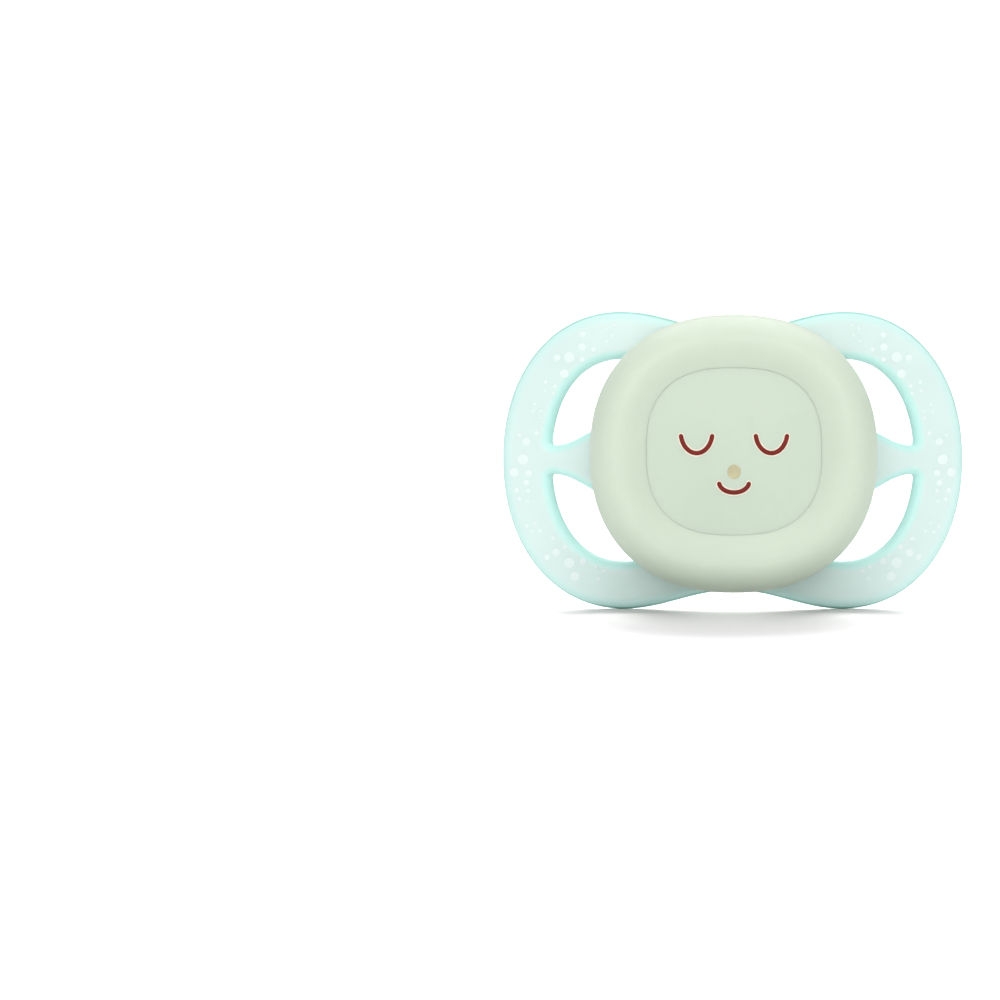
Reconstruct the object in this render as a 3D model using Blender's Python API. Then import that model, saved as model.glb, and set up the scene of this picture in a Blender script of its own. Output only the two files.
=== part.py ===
"""A baby's pacifier: a bowed shield with four air openings, a hollow silicone nipple seated in the
shield's hub, a retaining plug that holds the nipple, and a pillow-shaped button that snaps over the plug
and carries a flat face plate.

It stands upright: +X to the right, +Z up, the button faces -Y and the nipple points to +Y. All sizes are
in metres. The shape functions work in the shield's own frame, with the middle of its wall at the origin;
an empty lifts the whole assembly onto z = 0 and centres its depth.
"""

import math

import bmesh
import bpy
import numpy as np

MM = 0.001

# Fits
GAP = 0.30 * MM  # clearance between pieces that touch or sit in one another
OVERLAP = 0.40 * MM  # how far a joined rib or ring runs into the wall that carries it

# Shield
SHIELD_WIDTH = 58.0 * MM
SHIELD_HEIGHT = 37.5 * MM
SHIELD_THICKNESS = 2.4 * MM
LOBE_SPREAD = 13.8 * MM  # from the middle of the shield to the middle of each wing
LOBE_POWER = 2.12  # 2 is an ellipse, more is squarer
WAIST_HEIGHT = 32.6 * MM  # height of the shield between its wings
BOW_RADIUS_X = 58.0 * MM  # the shield curves round the mouth
BOW_RADIUS_Z = 140.0 * MM
EDGE_RADIUS = 1.0 * MM
EDGE_FLAT = 0.4  # share of the wall that stays at the very edge
EDGE_STEP = 0.3  # where the rounding has its middle step, as a share of its radius

# Air openings
RIM_WIDTH = 6.0 * MM  # from the shield's outline to the openings
OPENING_POWER = 2.2
BAR_HEIGHT = 3.6 * MM  # of the bar between an upper and a lower opening, at its outer end
BAR_FLARE = 0.082 / MM  # how fast the bar widens towards the hub
BAR_FLARE_LENGTH = 3.4 * MM  # past this the bar's edges run straight
BAR_CORNER = 0.6 * MM
HUB_CORNER = 1.5 * MM
RAY_START = (0.30, 0.66)  # an opening's middle, as shares of the half width and half height of its wing

# Hub and collar of the shield
HUB_RIM = 2.5 * MM  # from the collar to the air openings
BORE_RADIUS = 7.0 * MM
HUB_BACK = 3.0 * MM  # how far the hub stands behind the middle of the wall
COLLAR_WALL = 1.4 * MM
BEAD_HEIGHT = 0.5 * MM
BEAD_LENGTH = 0.8 * MM

# Nipple
FLANGE_RADIUS = 10.8 * MM
FLANGE_THICKNESS = 1.6 * MM
NIPPLE_REACH = 26.0 * MM  # beyond the back of the hub
NIPPLE_WALL = 1.6 * MM
NIPPLE_WAIST_RADIUS = 5.2 * MM
NIPPLE_WAIST_REACH = 6.5 * MM
NECK_REACH = 0.6 * MM  # how far the neck stays round and full behind the hub
BULB_WIDTH = 16.0 * MM
BULB_HEIGHT = 11.6 * MM
BULB_TIP_LENGTH = 8.2 * MM

# Retaining plug
PLUG_THICKNESS = 1.2 * MM
PLUG_BORE_RADIUS = 3.0 * MM

# Button
BUTTON_ROOM_X = 1.9 * MM  # between the skirt and the button's side wall, across
BUTTON_ROOM_Z = 0.15 * MM  # the same, upright, at the lower side
BUTTON_POWER = 2.25
BUTTON_RISE = 1.15 * MM  # above the middle of the shield
BUTTON_STANDOFF = 1.6 * MM  # air gap between the button's rim and the shield
BUTTON_WALL = 1.7 * MM
BUTTON_TAPER = 0.4 * MM  # how much the rim draws in behind the widest line
CROWN_SHARE = 0.58  # where the crown lies, from the recess (0) to the widest line (1)
SHOULDER_DROP = 5.4 * MM  # from the crown back to the widest line
SHOULDER_POWER = 2.2
POCKET_WALL = 1.6 * MM
RIB_HEIGHT = 1.7 * MM
RIB_RADIUS = 9.2 * MM
RIB_WALL = 1.2 * MM
SKIRT_WALL = 1.2 * MM
LIP_LENGTH = 0.8 * MM

# Face plate
FACE_WIDTH = 22.0 * MM
FACE_HEIGHT = 21.0 * MM
FACE_POWER = 2.6
FACE_THICKNESS = 1.2 * MM
FACE_RISE = 0.45 * MM  # above the middle of the button
FACE_BEVEL = 0.2 * MM
RECESS_DEPTH = 1.2 * MM  # from the button's crown down to the face plate
RECESS_LIP = 0.15 * MM  # how far the pocket's edge stands over the face plate

# The stack along Y, from the shield's seat forward
SEAT_Y = -SHIELD_THICKNESS / 2
FLANGE_BACK = SEAT_Y - GAP
FLANGE_FRONT = FLANGE_BACK - FLANGE_THICKNESS
PLUG_BACK = FLANGE_FRONT - GAP
PLUG_FRONT = PLUG_BACK - PLUG_THICKNESS
RIB_END = PLUG_FRONT - GAP
CEILING_Y = RIB_END - RIB_HEIGHT
POCKET_FLOOR = CEILING_Y - POCKET_WALL
FACE_BACK = POCKET_FLOOR - GAP
FACE_FRONT = FACE_BACK - FACE_THICKNESS
CROWN_Y = FACE_FRONT - RECESS_DEPTH
SHOULDER_Y = CROWN_Y + SHOULDER_DROP
ROOF_Y = CROWN_Y + BUTTON_WALL
RIM_Y = SEAT_Y - BUTTON_STANDOFF
TIP_Y = HUB_BACK + NIPPLE_REACH
BULB_Y = TIP_Y - BULB_TIP_LENGTH

# Radii that follow from the fits
NECK_RADIUS = BORE_RADIUS - GAP
NECK_BORE = NECK_RADIUS - NIPPLE_WALL
SPIGOT_RADIUS = NECK_BORE - GAP
COLLAR_INNER = FLANGE_RADIUS + GAP
COLLAR_OUTER = COLLAR_INNER + COLLAR_WALL
BEAD_RADIUS = COLLAR_OUTER + BEAD_HEIGHT
BEAD_BACK = PLUG_FRONT + BEAD_LENGTH
LIP_RADIUS = COLLAR_OUTER + GAP
SKIRT_INNER = BEAD_RADIUS + GAP
SKIRT_OUTER = SKIRT_INNER + SKIRT_WALL
SHEET_HOLE = (BORE_RADIUS + COLLAR_OUTER) / 2  # the wall's own hole, hidden inside the hub
HUB_RADIUS = COLLAR_OUTER + HUB_RIM
BUTTON_WIDTH = 2 * (SKIRT_OUTER + BUTTON_ROOM_X + BUTTON_WALL)
BUTTON_HEIGHT = 2 * (SKIRT_OUTER + BUTTON_RISE + BUTTON_ROOM_Z + BUTTON_WALL)

# The wall thickens square to its bow, so its edges lean out by this much
EDGE_LEAN = (
    EDGE_FLAT * SHIELD_THICKNESS / 2 * math.sin(math.atan(SHIELD_WIDTH / 2 / BOW_RADIUS_X)),
    EDGE_FLAT * SHIELD_THICKNESS / 2 * math.sin(math.atan(SHIELD_HEIGHT / 2 / BOW_RADIUS_Z)),
)

# Places that follow from the sizes
LOBE_HALF = (SHIELD_WIDTH / 2 - LOBE_SPREAD - EDGE_LEAN[0], SHIELD_HEIGHT / 2 - EDGE_LEAN[1])
OPENING_HALF = (LOBE_HALF[0] - RIM_WIDTH, LOBE_HALF[1] - RIM_WIDTH)
OPENING_END = LOBE_SPREAD + OPENING_HALF[0]
OPENING_CENTRE = (LOBE_SPREAD + RAY_START[0] * OPENING_HALF[0], RAY_START[1] * OPENING_HALF[1])
FACE_CENTRE = BUTTON_RISE + FACE_RISE
LIFT = max(SHIELD_HEIGHT / 2, BUTTON_HEIGHT / 2 - BUTTON_RISE)
DEPTH_SHIFT = -(CROWN_Y + TIP_Y) / 2

# Fineness
OUTLINE_STEPS = 22
SEAM_STEPS = 4
HOLE_STEPS = 8
TURNED_STEPS = 48
NIPPLE_STEPS = 36
NIPPLE_STATIONS = 12
TIP_ANGLES = (12, 27, 43, 60, 76)  # stations of the nipple's round tip, in degrees from its end
BUTTON_STEPS = 56
SLOPE_STATIONS = 5
SHOULDER_ANGLES = (18, 34, 48, 60, 71, 80)  # stations of the button's shoulder, in degrees from the crown
WIDEST_EDGE = 0.4  # most of a wall that its rounded edge may take
SMOOTH_ANGLE = math.radians(35)

SHIELD_PLASTIC = ("shield_plastic", (224, 243, 240), 0.30)
NIPPLE_SILICONE = ("nipple_silicone", (236, 238, 234), 0.35)
PLUG_PLASTIC = ("plug_plastic", (242, 243, 239), 0.40)
BUTTON_PLASTIC = ("button_plastic", (220, 232, 215), 0.45)
FACE_PLASTIC = ("face_plastic", (215, 227, 210), 0.40)


def clear_scene():
    for obj in list(bpy.data.objects):
        bpy.data.objects.remove(obj)


def material(finish):
    """A plastic from its name, its 8-bit sRGB colour and its roughness."""
    name, colour, roughness = finish
    made = bpy.data.materials.new(name)
    made.use_nodes = True
    shader = made.node_tree.nodes["Principled BSDF"]
    linear = [((c / 255 + 0.055) / 1.055) ** 2.4 for c in colour]
    shader.inputs["Base Color"].default_value = (*linear, 1)
    shader.inputs["Roughness"].default_value = roughness
    shader.inputs["Metallic"].default_value = 0
    made.diffuse_color = (*linear, 1)
    return made


def add_object(name, bm, parent, finish=None):
    """Puts a bmesh into a named, smooth-shaded object. Without a finish it is a helper."""
    mesh = bpy.data.meshes.new(name)
    bm.to_mesh(mesh)
    bm.free()
    mesh.shade_smooth()
    mesh.set_sharp_from_angle(angle=SMOOTH_ANGLE)
    obj = bpy.data.objects.new(name, mesh)
    obj.parent = parent
    bpy.context.collection.objects.link(obj)
    if finish:
        mesh.materials.append(material(finish))
    else:
        obj.hide_render = True
        obj.display_type = "WIRE"
    return obj


def join(obj, helper):
    union = obj.modifiers.new(f"join_{helper.name}", "BOOLEAN")
    union.operation = "UNION"
    union.solver = "EXACT"
    union.object = helper


def skin(rings, first_tip, last_tip):
    """A closed body over a chain of rings with the same number of points, ending in a point at each end."""
    bm = bmesh.new()
    loops = [[bm.verts.new(point) for point in ring] for ring in rings]
    count = len(loops[0])
    for near, far in zip(loops, loops[1:]):
        for i in range(count):
            j = (i + 1) % count
            bm.faces.new((near[i], near[j], far[j], far[i]))
    for tip, loop in ((first_tip, loops[0]), (last_tip, loops[-1])):
        pole = bm.verts.new(tip)
        for i in range(count):
            bm.faces.new((pole, loop[i], loop[(i + 1) % count]))
    bmesh.ops.recalc_face_normals(bm, faces=bm.faces)
    return bm


def turned(profile):
    """A ring turned about the Y axis from a closed outline of (radius, y) points."""
    bm = bmesh.new()
    points = [bm.verts.new((radius, y, 0)) for radius, y in profile]
    edges = [bm.edges.new(pair) for pair in zip(points, points[1:] + points[:1])]
    bmesh.ops.spin(
        bm,
        geom=points + edges,
        axis=(0, 1, 0),
        cent=(0, 0, 0),
        angle=math.tau,
        steps=TURNED_STEPS,
        use_merge=True,
    )
    bmesh.ops.remove_doubles(bm, verts=bm.verts, dist=1e-7)
    bmesh.ops.recalc_face_normals(bm, faces=bm.faces)
    return bm


# ---- shield ----


def bow(x, z):
    """How far the shield's wall has swept back to +Y at (x, z)."""
    return x**2 / (2 * BOW_RADIUS_X) + z**2 / (2 * BOW_RADIUS_Z)


def squircle_gap(x, z, half, power):
    """About the distance from a superellipse round the origin, negative inside it."""
    u = np.abs(x) / half[0]
    v = np.abs(z) / half[1]
    level = np.maximum((u**power + v**power) ** (1 / power), 1e-9)
    slope = np.hypot((u / level) ** (power - 1) / half[0], (v / level) ** (power - 1) / half[1])
    return (level - 1) / slope


def outline_gap(x, z):
    """Distance from the shield's outline, negative inside: a wing beyond its middle, a wave between."""
    wing = squircle_gap(x - LOBE_SPREAD, z, LOBE_HALF, LOBE_POWER)
    turn = np.pi * np.clip(x / LOBE_SPREAD, 0, 1)
    rise = LOBE_HALF[1] - WAIST_HEIGHT / 2
    crest = WAIST_HEIGHT / 2 + rise * (1 - np.cos(turn)) / 2
    slope = rise * np.sin(turn) / 2 * np.pi / LOBE_SPREAD
    return np.where(x > LOBE_SPREAD, wing, (z - crest) / np.hypot(1, slope))


def bar_half_height(x):
    """The bar's half height: level at its outer end, a parabola, then a straight flare to the hub."""
    run = np.maximum(OPENING_END - x, 0)
    curved = np.minimum(run, BAR_FLARE_LENGTH)
    return BAR_HEIGHT / 2 + BAR_FLARE * curved * (2 * run - curved)


def both(a, b, radius):
    """The part inside two shapes, with their common corner rounded."""
    a = a + radius
    b = b + radius
    outside = np.hypot(np.maximum(a, 0), np.maximum(b, 0))
    return np.minimum(np.maximum(a, b), 0) + outside - radius


def opening_gap(x, z):
    """Distance from the edge of the upper right air opening, negative inside it."""
    flare = 2 * BAR_FLARE * np.clip(OPENING_END - x, 0, BAR_FLARE_LENGTH)
    bar = (bar_half_height(x) - z) / np.hypot(1, flare)
    hub = HUB_RADIUS - np.hypot(x, z)
    wing = squircle_gap(x - LOBE_SPREAD, z, OPENING_HALF, OPENING_POWER)
    return both(both(bar, wing, BAR_CORNER), hub, HUB_CORNER)


def quarter_gap(x, z):
    """Negative inside the upper right quarter of the shield's wall, its opening included."""
    hole = SHEET_HOLE - np.hypot(x, z)
    return np.maximum.reduce([outline_gap(x, z), -x, -z, hole])


def reach(gap, headings):
    """How far one can go from the opening's centre along each heading before gap turns positive."""
    near = np.zeros(len(headings))
    far = np.full(len(headings), SHIELD_WIDTH)
    for _ in range(48):
        middle = (near + far) / 2
        x = OPENING_CENTRE[0] + middle * np.cos(headings)
        z = OPENING_CENTRE[1] + middle * np.sin(headings)
        inside = gap(x, z) < 0
        near = np.where(inside, middle, near)
        far = np.where(inside, far, middle)
    return near


def quarter_headings():
    """Directions from the opening's centre, with one at each corner of the quarter and at the start of
    each rounded edge on its seams."""
    end = LOBE_SPREAD + LOBE_HALF[0]
    waist = WAIST_HEIGHT / 2
    stops = (
        (end, 0, OUTLINE_STEPS),
        (0, waist, 1),
        (0, waist - EDGE_STEP * EDGE_RADIUS, 1),
        (0, waist - EDGE_RADIUS, SEAM_STEPS),
        (0, SHEET_HOLE, HOLE_STEPS),
        (SHEET_HOLE, 0, 2 * SEAM_STEPS),
        (end - EDGE_RADIUS, 0, 1),
        (end - EDGE_STEP * EDGE_RADIUS, 0, 1),
        (end, 0, 0),
    )
    turns = [math.atan2(z - OPENING_CENTRE[1], x - OPENING_CENTRE[0]) for x, z, _ in stops]
    for i in range(1, len(turns)):
        turns[i] = turns[i - 1] + (turns[i] - turns[i - 1]) % math.tau
    stretches = zip(turns, turns[1:], stops)
    return np.concatenate([np.linspace(a, b, stop[2], endpoint=False) for a, b, stop in stretches])


def edge_thickness(x, z):
    """The wall's share of its full thickness, rounded off towards the outline and the opening."""
    inside = -np.maximum(outline_gap(x, z), -opening_gap(x, z))
    share = np.clip(inside / EDGE_RADIUS, 0, 1)
    return EDGE_FLAT + (1 - EDGE_FLAT) * np.sqrt(1 - (1 - share) ** 2)


def shield_wall(parent):
    """One quarter of the bowed wall as a sheet, mirrored twice and thickened."""
    headings = quarter_headings()
    inner = reach(opening_gap, headings)
    span = reach(quarter_gap, headings) - inner
    edge = np.minimum(EDGE_RADIUS / span, WIDEST_EDGE)
    spacing = (0 * edge, EDGE_STEP * edge, edge, edge + (1 - 2 * edge) / 3)
    spacing += tuple(1 - step for step in reversed(spacing))
    bm = bmesh.new()
    loops = []
    weights = []
    for step in spacing:
        distance = inner + span * step
        x = OPENING_CENTRE[0] + distance * np.cos(headings)
        z = OPENING_CENTRE[1] + distance * np.sin(headings)
        x = np.where(np.abs(x) < 1e-7, 0, x)
        z = np.where(np.abs(z) < 1e-7, 0, z)
        loops.append([bm.verts.new(point) for point in zip(x, bow(x, z), z)])
        weights.extend(edge_thickness(x, z))
    count = len(headings)
    for near, far in zip(loops, loops[1:]):
        for i in range(count):
            j = (i + 1) % count
            bm.faces.new((near[i], near[j], far[j], far[i]))
    obj = add_object("shield", bm, parent, SHIELD_PLASTIC)
    group = obj.vertex_groups.new(name="thickness")
    for index, weight in enumerate(weights):
        group.add([index], float(weight), "REPLACE")
    mirror = obj.modifiers.new("quarters", "MIRROR")
    mirror.use_axis = (True, False, True)
    mirror.merge_threshold = 1e-5
    wall = obj.modifiers.new("wall", "SOLIDIFY")
    wall.thickness = SHIELD_THICKNESS
    wall.offset = 0
    wall.vertex_group = group.name
    return obj


def shield_hub(parent):
    """The thick hub round the bore, with the collar and snap bead that hold the button."""
    chamfer = BEAD_HEIGHT / 2
    profile = (
        (BORE_RADIUS, SEAT_Y),
        (COLLAR_INNER, SEAT_Y),
        (COLLAR_INNER, PLUG_FRONT),
        (COLLAR_OUTER, PLUG_FRONT),
        (BEAD_RADIUS, PLUG_FRONT + chamfer),
        (BEAD_RADIUS, BEAD_BACK - chamfer),
        (COLLAR_OUTER, BEAD_BACK),
        (COLLAR_OUTER, HUB_BACK - EDGE_RADIUS),
        (COLLAR_OUTER - EDGE_RADIUS, HUB_BACK),
        (BORE_RADIUS + chamfer, HUB_BACK),
        (BORE_RADIUS, HUB_BACK - chamfer),
    )
    return add_object("hub", turned(profile), parent)


def make_shield(parent):
    join(shield_wall(parent), shield_hub(parent))


# ---- nipple and plug ----


def blend(share):
    """A smooth step from 0 to 1."""
    share = np.clip(share, 0, 1)
    return share * share * (3 - 2 * share)


def nipple_halves(y, inset):
    """Half width and half height of the nipple behind the hub: neck, waist, bulb and round tip."""
    waist = HUB_BACK + NIPPLE_WAIST_REACH
    narrowing = blend((y - HUB_BACK - NECK_REACH) / (NIPPLE_WAIST_REACH - NECK_REACH))
    widening = blend((y - waist) / (BULB_Y - waist))
    closing = math.sqrt(1 - (max(y - BULB_Y, 0) / (BULB_TIP_LENGTH - inset)) ** 2)
    stem = NECK_RADIUS + (NIPPLE_WAIST_RADIUS - NECK_RADIUS) * narrowing - inset
    full = (BULB_WIDTH / 2 - inset, BULB_HEIGHT / 2 - inset)
    return [(stem + (half - stem) * widening) * closing for half in full]


def nipple_stations(inset):
    """(half width, half height, y) from the tip to the hub, moved in by the wall for the hollow."""
    tip = [math.cos(math.radians(a)) for a in TIP_ANGLES]
    places = [BULB_Y + (BULB_TIP_LENGTH - inset) * share for share in tip]
    places += list(np.linspace(BULB_Y, HUB_BACK + NECK_REACH, NIPPLE_STATIONS))
    return [(*nipple_halves(y, inset), y) for y in places]


def ellipse_ring(half_x, half_z, y):
    turns = np.linspace(0, math.tau, NIPPLE_STEPS, endpoint=False)
    return [(half_x * math.cos(t), y, half_z * math.sin(t)) for t in turns]


def make_nipple(parent):
    """Outer skin from the tip to the flange, then the hollow's skin back to its own tip."""
    chamfer = GAP / 2
    stations = nipple_stations(0)
    stations += [
        (NECK_RADIUS, NECK_RADIUS, FLANGE_BACK),
        (FLANGE_RADIUS - chamfer, FLANGE_RADIUS - chamfer, FLANGE_BACK),
        (FLANGE_RADIUS, FLANGE_RADIUS, FLANGE_BACK - chamfer),
        (FLANGE_RADIUS, FLANGE_RADIUS, FLANGE_FRONT + chamfer),
        (FLANGE_RADIUS - chamfer, FLANGE_RADIUS - chamfer, FLANGE_FRONT),
        (NECK_BORE, NECK_BORE, FLANGE_FRONT),
    ]
    stations += reversed(nipple_stations(NIPPLE_WALL))
    rings = [ellipse_ring(*station) for station in stations]
    bm = skin(rings, (0, TIP_Y, 0), (0, TIP_Y - NIPPLE_WALL, 0))
    add_object("nipple", bm, parent, NIPPLE_SILICONE)


def make_plug(parent):
    """A flange that clamps the nipple, and a hollow spigot that fills its neck and lets air through."""
    chamfer = GAP / 2
    spigot_end = HUB_BACK + NECK_REACH
    profile = (
        (PLUG_BORE_RADIUS, PLUG_FRONT),
        (FLANGE_RADIUS - chamfer, PLUG_FRONT),
        (FLANGE_RADIUS, PLUG_FRONT + chamfer),
        (FLANGE_RADIUS, PLUG_BACK - chamfer),
        (FLANGE_RADIUS - chamfer, PLUG_BACK),
        (SPIGOT_RADIUS, PLUG_BACK),
        (SPIGOT_RADIUS, spigot_end - 2 * chamfer),
        (SPIGOT_RADIUS - 2 * chamfer, spigot_end),
        (PLUG_BORE_RADIUS, spigot_end),
    )
    add_object("retaining_plug", turned(profile), parent, PLUG_PLASTIC)


# ---- button and face plate ----


def squircle_ring(half, centre_z, power, y, bow_share=0):
    """Points round a superellipse, level at y or swept back with part of the shield's bow."""
    turns = np.linspace(0, math.tau, BUTTON_STEPS, endpoint=False)
    cosine = np.cos(turns)
    sine = np.sin(turns)
    x = half[0] * np.sign(cosine) * np.abs(cosine) ** (2 / power)
    z = half[1] * np.sign(sine) * np.abs(sine) ** (2 / power) + centre_z
    return list(zip(x, y + bow_share * bow(x, z), z))


def front_ring(share):
    """A ring of the button's front, from the pocket's edge at 0 over the crown to the widest line at 1."""
    pocket = (FACE_WIDTH / 2 + GAP, FACE_HEIGHT / 2 + GAP)
    outline = (BUTTON_WIDTH / 2, BUTTON_HEIGHT / 2)
    half = [p + (o - p) * share for p, o in zip(pocket, outline)]
    power = FACE_POWER + (BUTTON_POWER - FACE_POWER) * share
    if share < CROWN_SHARE:
        rise = math.sin(math.pi / 2 * share / CROWN_SHARE)
        y = CROWN_Y + (RECESS_DEPTH - RECESS_LIP) * (1 - rise)
    else:
        out = (share - CROWN_SHARE) / (1 - CROWN_SHARE)
        y = CROWN_Y + SHOULDER_DROP * (1 - (1 - out**SHOULDER_POWER) ** (1 / SHOULDER_POWER))
    return squircle_ring(half, BUTTON_RISE + FACE_RISE * (1 - share), power, y)


def outer_half(inset):
    return (BUTTON_WIDTH / 2 - inset, BUTTON_HEIGHT / 2 - inset)


def pocket_half(outset):
    return (FACE_WIDTH / 2 + GAP + outset, FACE_HEIGHT / 2 + GAP + outset)


def button_shell(parent):
    """From the pocket's floor over the crown to the rim, then up inside to the ceiling over the plug."""
    rings = [squircle_ring(pocket_half(0), FACE_CENTRE, FACE_POWER, POCKET_FLOOR)]
    shares = list(np.linspace(0, CROWN_SHARE, SLOPE_STATIONS))
    shares += [CROWN_SHARE + (1 - CROWN_SHARE) * math.sin(math.radians(a)) for a in SHOULDER_ANGLES]
    rings += [front_ring(share) for share in shares + [1]]
    shell = (
        (BUTTON_TAPER / 4, (SHOULDER_Y + RIM_Y) / 2, 0.5),
        (BUTTON_TAPER, RIM_Y - BUTTON_TAPER, 1),
        (2 * BUTTON_TAPER, RIM_Y, 1),
        (BUTTON_WALL, RIM_Y, 1),
        (BUTTON_WALL, SHOULDER_Y, 0.2),
        (BUTTON_WALL + 0.5 * EDGE_RADIUS, ROOF_Y + EDGE_RADIUS, 0),
        (BUTTON_WALL + 1.5 * EDGE_RADIUS, ROOF_Y, 0),
    )
    rings += [squircle_ring(outer_half(i), BUTTON_RISE, BUTTON_POWER, y, b) for i, y, b in shell]
    for y in (ROOF_Y, CEILING_Y):
        rings.append(squircle_ring(pocket_half(POCKET_WALL), FACE_CENTRE, FACE_POWER, y))
    bm = skin(rings, (0, POCKET_FLOOR, FACE_CENTRE), (0, CEILING_Y, FACE_CENTRE))
    return add_object("button", bm, parent, BUTTON_PLASTIC)


def button_skirt(parent):
    """The ring that slides over the shield's collar, with the lip that snaps behind the bead."""
    lip_front = BEAD_BACK + GAP
    end = lip_front + LIP_LENGTH
    chamfer = BEAD_HEIGHT / 2
    profile = (
        (SKIRT_INNER, ROOF_Y - OVERLAP),
        (SKIRT_OUTER, ROOF_Y - OVERLAP),
        (SKIRT_OUTER, end - chamfer),
        (SKIRT_OUTER - chamfer, end),
        (LIP_RADIUS, end),
        (LIP_RADIUS, lip_front),
        (SKIRT_INNER, lip_front),
    )
    return add_object("skirt", turned(profile), parent)


def button_rib(parent):
    """The round rib under the ceiling that keeps the plug pressed home."""
    inner = RIB_RADIUS - RIB_WALL
    top = CEILING_Y - OVERLAP
    profile = ((inner, top), (RIB_RADIUS, top), (RIB_RADIUS, RIB_END), (inner, RIB_END))
    return add_object("rib", turned(profile), parent)


def make_button(parent):
    button = button_shell(parent)
    join(button, button_skirt(parent))
    join(button, button_rib(parent))


def make_face_plate(parent):
    """A flat plate that drops into the button's pocket, with its edges broken."""
    bm = bmesh.new()
    half = (FACE_WIDTH / 2, FACE_HEIGHT / 2)
    corners = squircle_ring(half, FACE_CENTRE, FACE_POWER, FACE_FRONT)
    front = bm.faces.new([bm.verts.new(point) for point in corners])
    pulled = bmesh.ops.extrude_face_region(bm, geom=[front])
    verts = [part for part in pulled["geom"] if isinstance(part, bmesh.types.BMVert)]
    bmesh.ops.translate(bm, verts=verts, vec=(0, FACE_THICKNESS, 0))
    bmesh.ops.recalc_face_normals(bm, faces=bm.faces)
    plate = add_object("face_plate", bm, parent, FACE_PLASTIC)
    broken = plate.modifiers.new("edges", "BEVEL")
    broken.width = FACE_BEVEL
    broken.segments = 2
    broken.limit_method = "ANGLE"
    broken.angle_limit = math.radians(60)


def main():
    clear_scene()
    base = bpy.data.objects.new("pacifier", None)
    base.location = (0, DEPTH_SHIFT, LIFT)
    bpy.context.collection.objects.link(base)
    make_shield(base)
    make_nipple(base)
    make_plug(base)
    make_button(base)
    make_face_plate(base)


main()
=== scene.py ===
"""A baby's pacifier: bowed clear shield, silicone nipple, plug, pillow-shaped button and face plate.

Every piece is a surface worked out on a grid in the shield's own frame, x across, z up and y back from
the middle of the wall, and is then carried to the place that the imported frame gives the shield.
"""

import math

import bmesh
import bpy
import numpy as np
from bpy.props import FloatProperty, FloatVectorProperty, IntProperty, PointerProperty
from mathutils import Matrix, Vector


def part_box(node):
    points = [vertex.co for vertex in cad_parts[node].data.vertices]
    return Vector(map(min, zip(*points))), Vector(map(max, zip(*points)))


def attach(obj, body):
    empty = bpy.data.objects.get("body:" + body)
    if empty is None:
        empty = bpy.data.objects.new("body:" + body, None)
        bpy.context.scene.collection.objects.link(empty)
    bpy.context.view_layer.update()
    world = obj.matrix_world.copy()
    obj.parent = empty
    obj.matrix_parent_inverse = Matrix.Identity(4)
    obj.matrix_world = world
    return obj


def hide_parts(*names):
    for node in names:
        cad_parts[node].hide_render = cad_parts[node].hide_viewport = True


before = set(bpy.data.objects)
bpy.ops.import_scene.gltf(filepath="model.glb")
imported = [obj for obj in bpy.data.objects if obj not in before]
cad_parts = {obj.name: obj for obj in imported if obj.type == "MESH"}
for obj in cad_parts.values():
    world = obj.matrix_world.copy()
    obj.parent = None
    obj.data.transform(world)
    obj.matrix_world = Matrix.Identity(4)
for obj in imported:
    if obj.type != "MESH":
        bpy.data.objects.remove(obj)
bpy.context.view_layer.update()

bl_info = {
    "name": "Pacifier",
    "version": (1, 0, 0),
    "blender": (4, 5, 0),
    "location": "3D View > Sidebar > Pacifier",
    "description": "Builds the visible pieces of a baby's pacifier and a plain stage for it",
    "category": "Add Mesh",
}

BODY = "root"
MM = 0.001

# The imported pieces, as their lowest and highest corners
SHIELD_LOW, SHIELD_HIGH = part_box("shield")
NIPPLE_LOW, NIPPLE_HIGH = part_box("nipple")
PLUG_LOW, PLUG_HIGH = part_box("retaining_plug")
BUTTON_LOW, BUTTON_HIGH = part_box("button")
PLATE_LOW, PLATE_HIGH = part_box("face_plate")

# From the collar's front back to the middle of the shield's wall
COLLAR_REACH = 4.6 * MM
ORIGIN = np.array([0, SHIELD_LOW.y + COLLAR_REACH, (SHIELD_LOW.z + SHIELD_HIGH.z) / 2])

SMOOTH_ANGLE = math.radians(38)
WELD = 1e-7


# ---- sizes and colours ----


def length(label, about, millimetres):
    return FloatProperty(name=label, description=about, default=millimetres * MM, unit="LENGTH")


def share(label, about, value):
    return FloatProperty(name=label, description=about, default=value, subtype="FACTOR", min=0, max=1)


def number(label, about, value):
    return FloatProperty(name=label, description=about, default=value)


def count(label, about, value):
    return IntProperty(name=label, description=about, default=value, min=3)


def angle(label, about, degrees):
    return FloatProperty(name=label, description=about, default=math.radians(degrees), unit="ROTATION")


def colour(label, about, red, green, blue):
    """A colour from its 8-bit sRGB values, kept as linear light."""
    linear = [((c / 255 + 0.055) / 1.055) ** 2.4 for c in (red, green, blue)]
    return FloatVectorProperty(name=label, description=about, default=linear, subtype="COLOR", size=3)


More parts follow.
